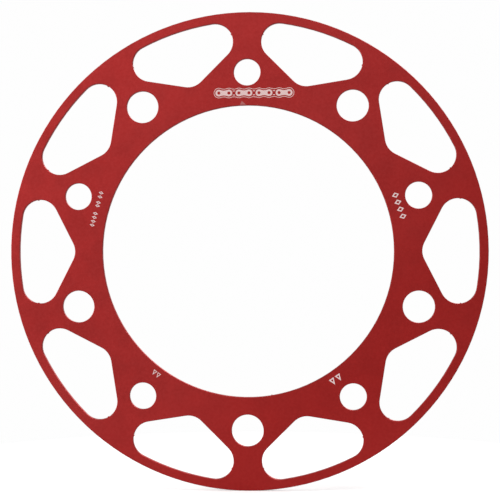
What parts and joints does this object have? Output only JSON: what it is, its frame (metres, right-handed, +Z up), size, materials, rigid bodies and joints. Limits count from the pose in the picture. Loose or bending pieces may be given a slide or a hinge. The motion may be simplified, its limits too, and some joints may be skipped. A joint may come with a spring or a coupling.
{
  "type": "rear sprocket disc",
  "caption": "Flat ring-shaped red anodised aluminium disc that bolts against a motorcycle's rear sprocket, with a large bore, stud holes and lightening windows.",
  "frame": {"origin": "centre of the bore, in the plane of the rear face that seats against the sprocket", "axes": "the disc stands upright: +Y along the bore, out of the rear face and towards the wheel; the marked front faces -Y; +Z up through one of the stud holes; +X to the right seen from the front"},
  "size_m": [0.1842, 0.002, 0.1842],
  "materials": {
    "anodised_sheet": "red anodised, satin",
    "laser_mark": "laser-bleached anodising, matt"
  },
  "bodies": {
    "root": {"sprocket_disc": "anodised_sheet"}
  },
  "joints": []
}
